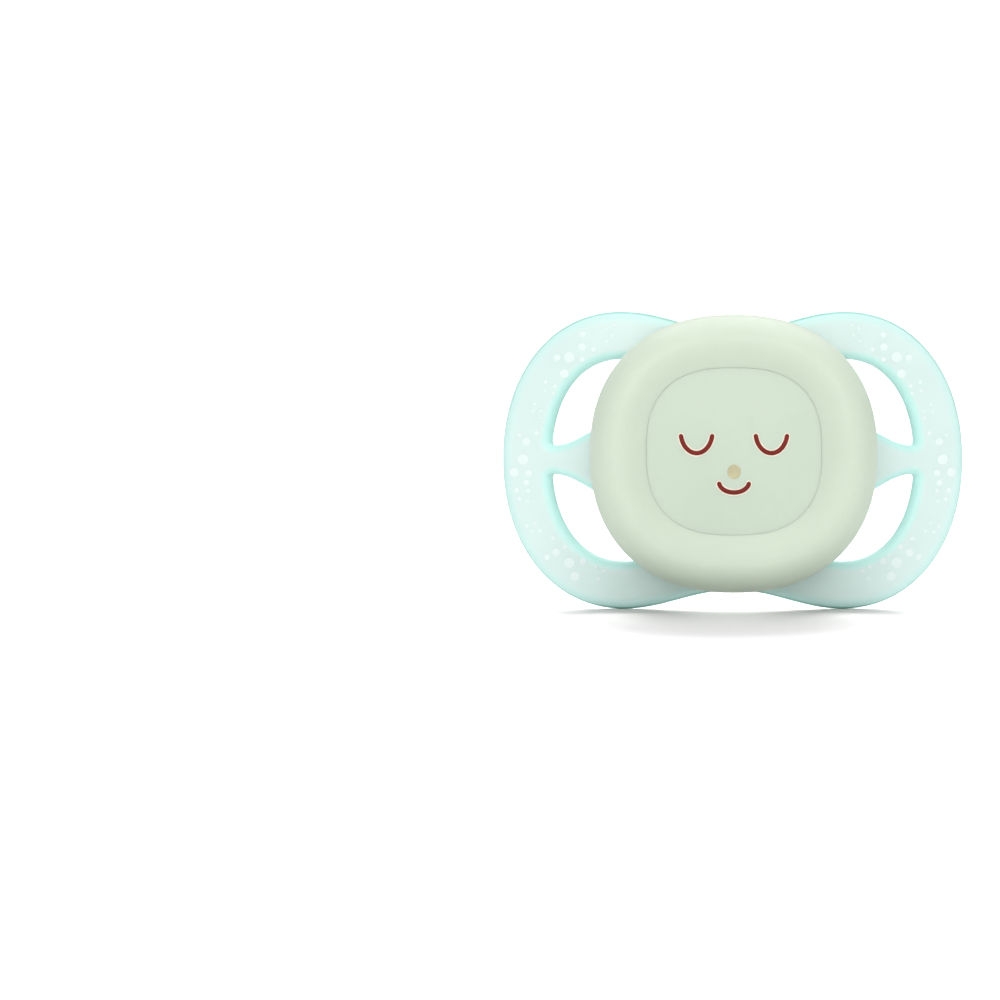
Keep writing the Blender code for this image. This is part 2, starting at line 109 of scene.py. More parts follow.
class ShieldSettings(bpy.types.PropertyGroup):
    thickness: length("Thickness", "Wall of the shield in its middle", 2.4)
    spread: length("Wing spread", "From the middle of the shield to the middle of each wing", 13.8)
    waist: length("Waist", "Height of the shield between its wings", 32.6)
    power: number("Wing squareness", "2 is an ellipse, more is squarer", 2.12)
    bow_x: length("Bow across", "Radius of the shield's sweep round the mouth", 58)
    bow_z: length("Bow upright", "Radius of the shield's sweep from top to bottom", 140)
    edge: length("Edge rounding", "How far in from an edge the wall reaches its full thickness", 1.5)
    edge_power: number("Edge fullness", "2 is a round edge, more is fuller", 2.3)
    rim: length("Rim", "From the outline to the air openings", 6.0)
    bar: length("Bar height", "Height of the bar between two openings at its outer end", 3.6)
    flare: number("Bar flare", "How fast the bar widens towards the hub, per metre", 82)
    flare_length: length("Flare length", "Past this the bar's edges run straight", 3.4)
    hub: length("Hub radius", "Where the air openings stop", 15)
    bore: length("Bore radius", "Hole for the nipple's neck", 7)
    hub_back: length("Hub back", "From the middle of the wall to the back of the hub", 3)
    mid: colour("Milky colour", "Colour in the middle of the rim", 224, 243, 239)
    # Painted glow: a brighter colour beside the air openings, standing in for light carried through the
    # clear plastic
    glow: colour("Edge glow", "Brighter colour beside the air openings", 203, 250, 243)
    # Painted shade: a deeper colour on the outline, where the rounded edge turns away
    painted_edge_shade: colour("Edge line", "Deeper colour on the outline", 128, 202, 188)


class BubbleSettings(bpy.types.PropertyGroup):
    per_cluster: count("Dots in a cluster", "Moulded dots in each cluster on the rim", 15)
    largest: length("Largest dot", "Radius of the largest dot", 0.66)
    smallest: length("Smallest dot", "Radius of the smallest dot", 0.19)
    apart: length("Dot spacing", "Least distance between two dots", 0.42)
    rise: length("Dot height", "How far a dot stands out of the wall", 0.05)
    # Painted highlight: the dots' colour is lighter than the shield's plastic, for the light a dot
    # gathers
    colour: colour("Dot colour", "Colour of the moulded dots", 236, 250, 247)


class NippleSettings(bpy.types.PropertyGroup):
    wall: length("Wall", "Wall of the hollow nipple", 1.6)
    neck: length("Neck radius", "Where it passes the hub", 6.7)
    waist: length("Waist radius", "Narrowest place of the stem", 5.2)
    waist_reach: length("Waist reach", "From the hub to the narrowest place", 6.5)
    bulb_width: length("Bulb width", "Widest place of the bulb, across", 16)
    bulb_height: length("Bulb height", "Widest place of the bulb, upright", 11.6)
    tip: length("Tip length", "From the bulb's widest place to its tip", 8.2)
    flange: length("Flange thickness", "Flange that sits on the hub's seat", 1.6)
    colour: colour("Silicone colour", "Clear food-grade silicone", 244, 246, 242)


class ButtonSettings(bpy.types.PropertyGroup):
    power: number("Outline squareness", "2 is an ellipse, more is squarer", 2.25)
    crown: share("Crown place", "From the pocket's edge (0) to the widest line (1)", 0.52)
    shoulder: length("Shoulder drop", "From the crown back to the widest line", 5.4)
    shoulder_power: number("Shoulder fullness", "2 is an ellipse, more is fuller", 1.95)
    wall: length("Wall", "Wall of the hollow button", 1.7)
    colour: colour("Plastic colour", "Pale green pigmented plastic", 214, 227, 208)


class PlateSettings(bpy.types.PropertyGroup):
    power: number("Outline squareness", "2 is an ellipse, more is squarer", 2.6)
    gap: length("Gap", "Visible joint between the plate and the button's pocket", 0.004)
    colour: colour("Plastic colour", "Pale green pigmented plastic", 208, 222, 204)


class PrintSettings(bpy.types.PropertyGroup):
    line: length("Line width", "Width of a printed line", 0.64)
    halo: length("Halo", "How far the pale underprint shows round a line", 0.15)
    film: length("Film", "Thickness of a layer of ink", 0.03)
    eye_spread: length("Eye spread", "From the middle of the face to the middle of an eye", 4.7)
    ink: colour("Line ink", "Red-brown ink of the eyes and mouth", 125, 24, 12)
    under: colour("Underprint", "Pale ink under the lines", 246, 238, 216)
    nose: colour("Nose ink", "Sand-coloured ink of the nose", 204, 198, 160)


class StageSettings(bpy.types.PropertyGroup):
    view_width: length("View width", "Width of the picture at the pacifier", 126.36)
    distance: length("Camera distance", "From the pacifier to the camera", 3000)
    elevation: angle("Elevation", "How far the camera stands above the horizon", 2.5)
    aim_x: length("Aim across", "Where the middle of the picture lies, across", -29.38)
    aim_z: length("Aim height", "Where the middle of the picture lies, above the floor", 13.44)
    floor: colour("Floor", "Pale studio floor", 202, 202, 202)


# ---- meshes ----


def grid_faces(rows, columns, closed=False):
    """Quads over a grid of points kept row by row. A closed grid joins its last column to its first."""
    row, column = np.meshgrid(np.arange(rows - 1), np.arange(columns - (not closed)), indexing="ij")
    after = (column + 1) % columns
    corners = (row * columns + column, row * columns + after, (row + 1) * columns + after)
    return np.stack([*corners, (row + 1) * columns + column], axis=-1).reshape(-1, 4)


def gather(patches):
    """One list of points, faces and attributes from several (grid, closed, attributes) patches."""
    points, faces, values, start = [], [], {}, 0
    for grid, closed, attributes in patches:
        rows, columns = grid.shape[:2]
        points.append(grid.reshape(-1, 3))
        faces.append(grid_faces(rows, columns, closed) + start)
        start += rows * columns
        for name, value in attributes.items():
            values.setdefault(name, []).append(np.broadcast_to(value, (rows, columns)).reshape(-1))
    values = {name: np.concatenate(parts) for name, parts in values.items()}
    return np.concatenate(points), np.concatenate(faces), values


def add_piece(name, patches, material, replaced=None):
    """Welds the patches into one closed, outward-facing, smooth mesh that rides on the frame."""
    points, faces, values = gather(patches)
    mesh = bpy.data.meshes.new(name)
    mesh.from_pydata((points + ORIGIN).tolist(), [], faces.tolist())
    for key, value in values.items():
        mesh.attributes.new(key, "FLOAT", "POINT").data.foreach_set("value", value.astype(np.float32))
    bm = bmesh.new()
    bm.from_mesh(mesh)
    bmesh.ops.remove_doubles(bm, verts=bm.verts, dist=2 * WELD)
    bmesh.ops.dissolve_degenerate(bm, edges=bm.edges, dist=WELD)
    bmesh.ops.recalc_face_normals(bm, faces=bm.faces)
    open_edges = sum(not edge.is_manifold for edge in bm.edges)
    bm.to_mesh(mesh)
    bm.free()
    if open_edges:
        raise RuntimeError(f"{name} has {open_edges} edges that aren't shared by two faces")
    mesh.shade_smooth()
    mesh.set_sharp_from_angle(angle=SMOOTH_ANGLE)
    mesh.materials.append(material)
    piece = bpy.data.objects.new(name, mesh)
    bpy.context.scene.collection.objects.link(piece)
    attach(piece, BODY)
    if replaced:
        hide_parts(replaced)
    return piece


def ease(value):
    """A smooth step from 0 to 1."""
    value = np.clip(value, 0, 1)
    return value * value * (3 - 2 * value)


def squircle(half_x, half_z, power, turns):
    """Points of a superellipse: each half axis times the cosine or sine raised to 2 over the power."""
    cosine, sine = np.cos(turns), np.sin(turns)
    x = half_x * np.sign(cosine) * np.abs(cosine) ** (2 / power)
    z = half_z * np.sign(sine) * np.abs(sine) ** (2 / power)
    return x, z


def even_turns(power, steps):
    """Angles that spread points evenly round a superellipse, found from its running length."""
    fine = np.linspace(0, math.tau, 40 * steps + 1)
    x, z = squircle(1, 1, power, fine)
    run = np.concatenate([[0], np.cumsum(np.hypot(np.diff(x), np.diff(z)))])
    return np.interp(np.linspace(0, run[-1], steps, endpoint=False), run, fine)


def round_corner(radius, start, end, steps=5):
    """Angles in degrees turned into (cosine, sine) pairs times the radius."""
    turns = np.radians(np.linspace(start, end, steps))
    return radius * np.cos(turns), radius * np.sin(turns)


def rounded_rim(radius, front, back, edge):
    """A flange's rim from its front to its back, rounded at both, as (radius, y) pairs."""
    cosines, sines = round_corner(edge, -90, 90, 9)
    middle = np.where(sines > 0, back - edge, front + edge)
    return [(radius - edge + c, m + s) for c, s, m in zip(cosines, sines, middle)]


def turned(profile, steps):
    """A body of revolution about y: (radius, y) pairs carried round a circle, back to the first pair."""
    profile = np.array(list(profile) + [profile[0]], float)
    turns = np.linspace(0, math.tau, steps, endpoint=False)
    radius, y = profile[:, :1], profile[:, 1:]
    return np.stack([radius * np.cos(turns), y + 0 * turns, radius * np.sin(turns)], axis=-1)


# ---- materials ----


class Finish:
    """A Principled material, with short calls for the nodes that drive it."""

    def __init__(self, name, **values):
        self.material = bpy.data.materials.new(name)
        self.material.use_nodes = True
        self.tree = self.material.node_tree
        self.shader = self.tree.nodes["Principled BSDF"]
        for key, value in values.items():
            self.feed(self.shader, key.replace("_", " ").title().replace("Ior", "IOR"), value)

    def feed(self, node, socket, value):
        """Links a socket, or sets a number or a colour, on one input of a node."""
        entry = node.inputs[socket]
        if isinstance(value, bpy.types.NodeSocket):
            self.tree.links.new(value, entry)
        elif hasattr(entry.default_value, "__len__") and len(entry.default_value) == 4:
            entry.default_value = (*value, 1)
        else:
            entry.default_value = value

    def node(self, kind, output=0, settings=None, **values):
        """Adds a node and gives back one output. Inputs are named n_0, n_1 by number, or by word."""
        made = self.tree.nodes.new(kind)
        for key, value in (settings or {}).items():
            setattr(made, key, value)
        for key, value in values.items():
            socket = int(key[2:]) if key.startswith("n_") else key.replace("_", " ")
            self.feed(made, socket, value)
        return made.outputs[output]

    def place(self):
        return self.node("ShaderNodeTexCoord", "Object")

    def attribute(self, name):
        return self.node("ShaderNodeAttribute", "Fac", {"attribute_name": name})

    def noise(self, scale, detail=3.0, roughness=0.5):
        return self.node(
            "ShaderNodeTexNoise",
            Vector=self.place(),
            Scale=scale,
            Detail=detail,
            Roughness=roughness,
        )

    def span(self, value, low, high, to_low, to_high):
        """Carries a value's range onto another with a smooth step."""
        smooth = {"interpolation_type": "SMOOTHSTEP"}
        ends = {"n_1": low, "n_2": high, "n_3": to_low, "n_4": to_high}
        return self.node("ShaderNodeMapRange", 0, smooth, n_0=value, **ends)

    def haze(self, scale, detail, low=0, high=1, roughness=0.5):
        """Soft noise between two values, with its rare extremes cut off."""
        return self.span(self.noise(scale, detail, roughness), 0.3, 0.7, low, high)

    def mix(self, factor, first, second):
        made = self.tree.nodes.new("ShaderNodeMix")
        made.data_type = "RGBA"
        self.feed(made, 0, factor)
        self.feed(made, 6, first)
        self.feed(made, 7, second)
        return made.outputs[2]

    def math(self, operation, first, second):
        return self.node("ShaderNodeMath", 0, {"operation": operation}, n_0=first, n_1=second)

    def bump(self, height, distance, strength=1.0):
        made = self.node("ShaderNodeBump", Height=height, Distance=distance, Strength=strength)
        self.feed(self.shader, "Normal", made)

    def milk(self, weight, scale, radius=(1.0, 1.0, 1.0)):
        """Light that scatters below the skin."""
        self.feed(self.shader, "Subsurface Weight", weight)
        self.feed(self.shader, "Subsurface Radius", radius)
        self.feed(self.shader, "Subsurface Scale", scale)

    def base(self, colour):
        self.feed(self.shader, "Base Color", colour)


def tinted(colour, factor):
    """The same colour, lighter or darker."""
    return tuple(min(1.0, c * factor) for c in colour)


def shield_finish(settings):
    """Clear mint plastic: milky in the middle, with a painted glow near the edges and a painted deeper
    shade along the outline.
    """
    made = Finish("shield_mint_painted_light", ior=1.49)
    opening = made.attribute("opening_mm")
    outline = made.attribute("outline_mm")
    milky = made.mix(made.haze(110, 3), tinted(settings.mid, 0.985), tinted(settings.mid, 1.015))
    # Painted glow: the colour is made brighter beside the air openings and just inside the outline
    beside = made.span(opening, 0.4, 1.3, 0.9, 0)
    outer = made.span(outline, 0.4, 1.8, 0.6, 0)
    painted_glow = made.mix(made.math("MAXIMUM", beside, outer), milky, settings.glow)
    # Painted shade: a thin deeper line along the outline
    line = made.span(outline, 0.16, 0.46, 0.9, 0)
    made.base(made.mix(line, painted_glow, settings.painted_edge_shade))
    made.feed(made.shader, "Roughness", made.haze(160, 2, 0.29, 0.35))
    made.milk(0.25, 0.9 * MM)
    return made.material


def bubble_finish(settings):
    """The same plastic, painted lighter where a moulded dot gathers light, with a brighter painted
    highlight round its foot.
    """
    made = Finish("bubble_mint_painted_highlight", roughness=0.3, ior=1.49)
    # Painted highlight: a brighter ring round each dot's foot
    ring = made.span(made.attribute("dot_share"), 0.0, 0.4, 1, 0)
    made.base(made.mix(ring, settings.colour, tinted(settings.colour, 1.05)))
    return made.material


def silicone_finish(settings):
    """Clear silicone with a faint haze and a satin skin."""
    made = Finish("nipple_silicone", ior=1.41, transmission_weight=0.82)
    made.base(made.mix(made.haze(190, 4), tinted(settings.colour, 0.97), settings.colour))
    made.feed(made.shader, "Roughness", made.haze(420, 3, 0.12, 0.22))
    made.bump(made.noise(1500, 3), 0.006 * MM, 0.5)
    return made.material


def natural_finish():
    """Natural polypropylene, fine matt."""
    made = Finish("plug_natural_plastic", roughness=0.45)
    made.base(made.mix(made.noise(260, 4), (0.84, 0.85, 0.81), (0.93, 0.93, 0.9)))
    made.bump(made.noise(3200, 3), 0.008 * MM, 0.6)
    return made.material


def satin_finish(name, colour, roughness, grain):
    """Pigmented plastic: faint flow clouds in the colour, fine spark-eroded grain, satin gloss."""
    made = Finish(name)
    clouds = made.haze(75, 4, roughness=0.55)
    flecks = made.span(made.noise(1900, 2), 0.45, 0.75, 0, 0.25)
    flow = made.mix(clouds, tinted(colour, 0.985), tinted(colour, 1.015))
    made.base(made.mix(flecks, flow, tinted(colour, 0.96)))
    made.feed(made.shader, "Roughness", made.haze(240, 3, roughness - 0.05, roughness + 0.05))
    made.milk(0.3, 1.2 * MM, (1.0, 1.0, 0.9))
    made.bump(made.noise(4200, 3), grain, 0.7)
    return made.material


def ink_finish(name, colour):
    """Pad-printed ink: slightly uneven cover, a little duller than the plate."""
    made = Finish(name, roughness=0.5, specular_ior_level=0.3)
    made.base(made.mix(made.haze(900, 4), tinted(colour, 0.88), tinted(colour, 1.06)))
    made.bump(made.noise(5200, 3), 0.003 * MM, 0.6)
    return made.material


# ---- shield ----


def squircle_gap(x, z, half, power):
    """About the distance from a superellipse: its level less one, over the level's slope."""
    u, v = np.abs(x) / half[0], np.abs(z) / half[1]
    level = np.maximum((u**power + v**power) ** (1 / power), 1e-9)
    slope = np.hypot((u / level) ** (power - 1) / half[0], (v / level) ** (power - 1) / half[1])
    return (level - 1) / slope


def both(a, b, radius):
    """The part inside two shapes, with their common corner rounded."""
    a, b = a + radius, b + radius
    outside = np.hypot(np.maximum(a, 0), np.maximum(b, 0))
    return np.minimum(np.maximum(a, b), 0) + outside - radius


class ShieldShape:
    """The shield's formulas for its upper right quarter; the others are mirror images."""

    # The turned hub: where the wall meets it, where its back turns flat, its corner at the bore, the
    # collar with the bead that the button grips, and the height of the fillet outside the collar
    JOIN = 13.4 * MM
    HUB_FLAT = 11.9 * MM
    BORE_CORNER = 0.5 * MM
    COLLAR = (11.1 * MM, 12.5 * MM)
    BEAD = 13.0 * MM
    FILLET = 0.9 * MM
    # Corners of the air openings, and how square they are (2 is an ellipse)
    BAR_CORNER = 0.6 * MM
    HUB_CORNER = 1.5 * MM
    OPENING_POWER = 2.2
    RAY_START = (0.30, 0.66)  # an opening's middle, as shares of its own half width and half height
    RAY_LENGTH = 60 * MM
    HALVINGS = 50
    # What spreads the rays besides the opening's own length: a share of the outline's length, and a
    # length for each radian that the opening's edge turns
    OUTLINE_SHARE = 0.6
    TURN_LENGTH = 0.5 * MM
    EDGE_ROWS, MIDDLE_ROWS = 10, 17

    def __init__(self, settings):
        self.s = settings
        self.half_wall = settings.thickness / 2
        half_width = (SHIELD_HIGH.x - SHIELD_LOW.x) / 2
        half_height = (SHIELD_HIGH.z - SHIELD_LOW.z) / 2
        lean_x = self.lean(half_width, settings.bow_x)
        lean_z = self.lean(half_height, settings.bow_z)
        self.wing = (half_width - settings.spread - lean_x, half_height - lean_z)
        self.opening = (self.wing[0] - settings.rim, self.wing[1] - settings.rim)
        self.opening_end = settings.spread + self.opening[0]
        self.centre = (
            settings.spread + self.RAY_START[0] * self.opening[0],
            self.RAY_START[1] * self.opening[1],
        )

    def lean(self, half, radius):
        """How far the rounded edge leans out past the middle of the swept wall."""
        inside = np.linspace(0, self.s.edge, 400)
        return float(np.max(self.half_thickness(inside) * math.sin(math.atan(half / radius)) - inside))

    def half_thickness(self, inside):
        """Half the wall at a distance in from its edge: a superelliptic round, then level."""
        rest = 1 - np.clip(inside / self.s.edge, 0, 1)
        return self.half_wall * (1 - rest**self.s.edge_power) ** (1 / self.s.edge_power)

    def bow(self, x, z):
        """The swept wall: x squared and z squared, each over twice its radius."""
        return x**2 / (2 * self.s.bow_x) + z**2 / (2 * self.s.bow_z)

    def outline_gap(self, x, z):
        """Distance from the outline, negative inside: wings beyond their middles, a cosine between."""
        wing = squircle_gap(x - self.s.spread, z, self.wing, self.s.power)
        turn = np.pi * np.clip(x / self.s.spread, 0, 1)
        rise = self.wing[1] - self.s.waist / 2
        crest = self.s.waist / 2 + rise * (1 - np.cos(turn)) / 2
        slope = rise * np.sin(turn) / 2 * np.pi / self.s.spread
        return np.where(x > self.s.spread, wing, (z - crest) / np.hypot(1, slope))

    def opening_gap(self, x, z):
        """Distance from an opening's edge, negative inside: bar, wing and hub with rounded corners."""
        run = np.maximum(self.opening_end - x, 0)
        curved = np.minimum(run, self.s.flare_length)
        half = self.s.bar / 2 + self.s.flare * curved * (2 * run - curved)
        bar = (half - z) / np.hypot(1, 2 * self.s.flare * curved)
        hub = self.s.hub - np.hypot(x, z)
        wing = squircle_gap(x - self.s.spread, z, self.opening, self.OPENING_POWER)
        return both(both(bar, wing, self.BAR_CORNER), hub, self.HUB_CORNER)

    def reach(self, gap, headings):
        """How far one can go from the opening's middle along each heading before gap turns positive."""
        near, far = np.zeros(len(headings)), np.full(len(headings), self.RAY_LENGTH)
        for _ in range(self.HALVINGS):
            middle = (near + far) / 2
            x, z = self.along(headings, middle)
            inside = gap(x, z) < 0
            near, far = np.where(inside, middle, near), np.where(inside, far, middle)
        return near

    def along(self, headings, distance):
        return self.centre[0] + distance * np.cos(headings), self.centre[1] + distance * np.sin(headings)

    def stretch(self, start, end, turns, places):
        """Matching points on the opening's edge and on the quarter's boundary, at places from 0 to 1.

        The opening's edge is found along headings that turn evenly. The boundary is the outline where
        the stretch starts at the wing's end, an arc where it follows the hub, and else a line."""

        def quarter_gap(x, z):
            return np.maximum(self.outline_gap(x, z), -z)

        headings = turns[0] + (turns[1] - turns[0]) * places
        inner = self.along(headings, self.reach(self.opening_gap, headings))
        if start[0] > self.s.spread and end[1] > 0:
            outer = self.along(headings, self.reach(quarter_gap, headings))
        elif start == (0, self.JOIN):
            outer = (self.JOIN * np.sin(np.pi / 2 * places), self.JOIN * np.cos(np.pi / 2 * places))
        else:
            outer = [a + (b - a) * places for a, b in zip(start, end)]
        return np.array(inner), np.array(outer)

    def ribs(self):
        """Pairs of matching points all round the opening, the ends of ribs. Each stretch between two
        corners of the quarter spreads its pairs by the length and the turning of the edges there."""
        end, waist, edge = self.s.spread + self.wing[0], self.s.waist / 2, self.s.edge
        # Each corner as x and z, with the number of pairs from it to the next
        stops = (
            (end, 0, 96),
            (0, waist, 9),
            (0, waist - edge, 7),
            (0, self.JOIN, 42),
            (self.JOIN, 0, 62),
            (end - edge, 0, 9),
            (end, 0, 1),
        )
        turns = [math.atan2(z - self.centre[1], x - self.centre[0]) for x, z, _ in stops]
        for i in range(1, len(turns)):
            turns[i] = turns[i - 1] + (turns[i] - turns[i - 1]) % math.tau
        pairs = []
        fine = np.linspace(0, 1, 600)
        for start, last, first_turn, last_turn in zip(stops, stops[1:], turns, turns[1:]):
            inner, outer = self.stretch(start[:2], last[:2], (first_turn, last_turn), fine)
            steps = np.diff(inner)
            bend = np.abs(np.diff(np.unwrap(np.arctan2(steps[1], steps[0]))))
            weight = np.hypot(*steps) + self.OUTLINE_SHARE * np.hypot(*np.diff(outer))
            weight += self.TURN_LENGTH * np.append(bend, 0)
            run = np.append(0, np.cumsum(weight))
            places = np.interp(np.linspace(0, run[-1], start[2], endpoint=False), run, fine)
            pairs.append(self.stretch(start[:2], last[:2], (first_turn, last_turn), places))
        inner, outer = (np.concatenate(edge_line, axis=1) for edge_line in zip(*pairs))
        return np.append(inner, inner[:, :1], axis=1), np.append(outer, outer[:, :1], axis=1)

    def rows(self, span):
        """Shares of each ray: close together where the edges round off, even between."""
        edge = np.minimum(self.s.edge / span, 0.46)
        start = edge * (1 - np.cos(np.linspace(0, np.pi / 2, self.EDGE_ROWS)))[:, None]
        middle = edge + (1 - 2 * edge) * np.linspace(0, 1, self.MIDDLE_ROWS + 2)[1:-1, None]
        return np.concatenate([start, middle, 1 - start[::-1]])

    def side(self, x, z, half, sign):
        """The wall's surface, moved out from its middle square to the bow."""
        slope_x, slope_z = x / self.s.bow_x, z / self.s.bow_z
        size = np.sqrt(1 + slope_x**2 + slope_z**2)
        out = sign * half / size
        return np.stack([x - out * slope_x, self.bow(x, z) + out, z - out * slope_z], axis=-1)

    def patches(self):
        """The quarter's front, back and part of the hub. Between the two ends of a rib, the distance from
        the shield's middle and the turn about it both run evenly with the row's share of the way."""
        inner, outer = self.ribs()
        near, far = np.hypot(*inner), np.hypot(*outer)
        near_turn, far_turn = np.arctan2(inner[1], inner[0]), np.arctan2(outer[1], outer[0])
        rows = self.rows(np.hypot(far - near, (far + near) / 2 * (far_turn - near_turn)))
        radius, turn = near + (far - near) * rows, near_turn + (far_turn - near_turn) * rows
        x, z = radius * np.cos(turn), radius * np.sin(turn)
        x = np.where(np.abs(x) < 2 * WELD, 0, x)
        z = np.where(np.abs(z) < 2 * WELD, 0, z)
        outline = -self.outline_gap(x, z)
        opening = self.opening_gap(x, z)
        inside = np.maximum(np.minimum(outline, opening), 0)
        inside[0] = 0
        half = self.half_thickness(inside)
        at_outline = outline[-1] < 10 * WELD
        half[-1] = np.where(at_outline, 0, half[-1])
        values = {"opening_mm": opening / MM, "outline_mm": outline / MM}
        far_from_edges = {"opening_mm": 3.0, "outline_mm": 3.0}
        sides = [(self.side(x, z, half, sign), False, values) for sign in (-1, 1)]
        at_hub = np.abs(np.hypot(x[-1], z[-1]) - self.JOIN) < 10 * WELD
        ring = self.hub_ring(np.arctan2(z[-1][at_hub], x[-1][at_hub]))
        return sides + [(ring, False, far_from_edges)]

    def hub_ring(self, turns):
        """The hub's section carried round: from the wall's back up a soft step to the flat back, down
        the bore, over the seat and the collar with its bead, and down a fillet to the wall's front."""
        cosine, sine = np.cos(turns), np.sin(turns)

        def wall(radius, sign):
            return self.side(radius * cosine, radius * sine, self.half_wall, sign)

        def level(radius, y):
            return np.stack([radius * cosine, y + 0 * turns, radius * sine], axis=-1)

        seat, front, back, bore = -self.half_wall, -COLLAR_REACH, self.s.hub_back, self.s.bore
        (inner, outer), bead, corner = self.COLLAR, self.BEAD, self.BORE_CORNER
        rows = []
        for step in np.linspace(0, 1, 12):
            radius = self.JOIN + (self.HUB_FLAT - self.JOIN) * step
            rows.append(wall(radius, 1) * (1 - ease(step)) + level(radius, back) * ease(step))
        profile = [(radius * MM, back) for radius in (11.0, 9.5, 8.2)]
        cosines, sines = round_corner(corner, 90, 180, 7)
        profile += [(bore + corner + c, back - corner + s) for c, s in zip(cosines, sines)]
        profile += [
            (bore, back - 1.6 * MM),
            (bore, seat + 1.2 * MM),
            (bore, seat + 0.1 * MM),
            (bore + 0.1 * MM, seat),
            (9 * MM, seat),
            (inner - 0.3 * MM, seat),
            (inner - 0.1 * MM, seat - 0.05 * MM),
            (inner, seat - 0.3 * MM),
            (inner, front + 1.2 * MM),
            (inner, front + 0.25 * MM),
            (inner + 0.08 * MM, front + 0.07 * MM),
            (inner + 0.25 * MM, front),
            (outer - 0.3 * MM, front),
            (outer, front + 0.04 * MM),
            (bead - 0.15 * MM, front + 0.16 * MM),
            (bead, front + 0.32 * MM),
            (bead, front + 0.5 * MM),
            (bead - 0.15 * MM, front + 0.66 * MM),
            (outer, front + 0.8 * MM),
            (outer, front + 1.1 * MM),
            (outer, front + 1.8 * MM),
        ]
        rows += [level(radius, y) for radius, y in profile]
        for step in np.linspace(0, 1, 9):
            radius = outer + (self.JOIN - outer) * step
            bowed = wall(radius, -1)
            row = bowed * ease(4 * step) + level(radius, bowed[..., 1]) * (1 - ease(4 * step))
            rows.append(row - np.array([0, self.FILLET * (1 - step) ** 2.2, 0]))
        return np.stack(rows)


def mirrored(patches):
    """The patches of a quarter, and their mirror images in x = 0 and z = 0."""
    return [
        (grid * np.array([sign_x, 1, sign_z]), closed, values)
        for sign_x in (1, -1)
        for sign_z in (1, -1)
        for grid, closed, values in patches
    ]


class PACIFIER_OT_shield(bpy.types.Operator):
    """Build the bowed shield with its air openings, hub, bore and collar"""

    bl_idname = "pacifier.shield"
    bl_label = "Shield"

    def execute(self, context):
        settings = context.scene.pacifier_shield
        patches = mirrored(ShieldShape(settings).patches())
        add_piece("shield_moulding", patches, shield_finish(settings), "shield")
        return {"FINISHED"}


# ---- moulded dots ----


class PACIFIER_OT_bubbles(bpy.types.Operator):
    """Build the clusters of small moulded dots on the shield's rim"""

    bl_idname = "pacifier.bubbles"
    bl_label = "Moulded dots"

    # Middle of a trail of dots and half its length, as turns in degrees round the wing, and how far the
    # trail drifts outwards from its middle to its last end
    TRAILS = ((122, 30, -0.06), (180, 29, 0.05), (238, 30, -0.05))
    RIM_MIDDLE, TRAIL_HALF = 0.81, 0.085  # as shares of the wing's size
    STEP_ALONG, STEP_ACROSS = 0.7548776662, 0.5698402910  # powers of the plastic number: an even scatter
    TRIES = 400
    # A dot's rings from its top to its buried base, as shares of its radius and of its height
    RING_SHARES = np.array([0, 0.35, 0.75, 0.95, 1.0, 0])[:, None]
    RING_LIFTS = np.array([1, 0.92, 0.5, 0.12, -0.6, -0.6])[:, None]
    SIDES = 14

    def trail(self, shape, settings, middle, spread, drift):
        """Dots from the largest to the smallest. Each takes the first free place of an even scatter, and
        the largest keep to the trail's middle."""
        steps = np.arange(self.TRIES)
        along = (0.5 + steps * self.STEP_ALONG + middle) % 1 * 2 - 1
        across = (0.5 + steps * self.STEP_ACROSS) % 1 * 2 - 1
        turns = np.radians(middle + spread * along)
        ring = self.RIM_MIDDLE + drift * along + self.TRAIL_HALF * across * (1 - 0.5 * along**2)
        x = shape.s.spread + shape.wing[0] * ring * -np.cos(turns)
        z = shape.wing[1] * ring * np.sin(turns)
        dots = []
        for order in np.linspace(0, 1, settings.per_cluster):
            radius = settings.smallest + (settings.largest - settings.smallest) * (1 - order) ** 3
            free = np.abs(along) < 0.2 + 0.8 * order
            for dot_x, dot_z, size in dots:
                free &= np.hypot(x - dot_x, z - dot_z) > size + radius + settings.apart
            if free.any():
                place = np.argmax(free)
                dots.append((x[place], z[place], radius))
        return dots

    def places(self, shape, settings):
        return np.array([dot for trail in self.TRAILS for dot in self.trail(shape, settings, *trail)]).T

    def execute(self, context):
        settings = context.scene.pacifier_bubbles
        shape = ShieldShape(context.scene.pacifier_shield)
        x, z, radius = self.places(shape, settings)
        x, z, radius = np.concatenate([[x, z, radius], [-x, z, radius]], axis=1)
        turns = np.linspace(0, math.tau, self.SIDES, endpoint=False)
        height = settings.rise * self.RING_LIFTS + 0 * turns
        patches = []
        for dot_x, dot_z, size in zip(x, z, radius):
            px = dot_x + size * self.RING_SHARES * np.cos(turns)
            pz = dot_z + size * self.RING_SHARES * np.sin(turns)
            grid = shape.side(px, pz, shape.half_wall + height, -1)
            patches.append((grid, True, {"dot_share": 1 - self.RING_SHARES}))
        add_piece("moulded_dots", patches, bubble_finish(settings))
        return {"FINISHED"}


# ---- nipple and plug ----


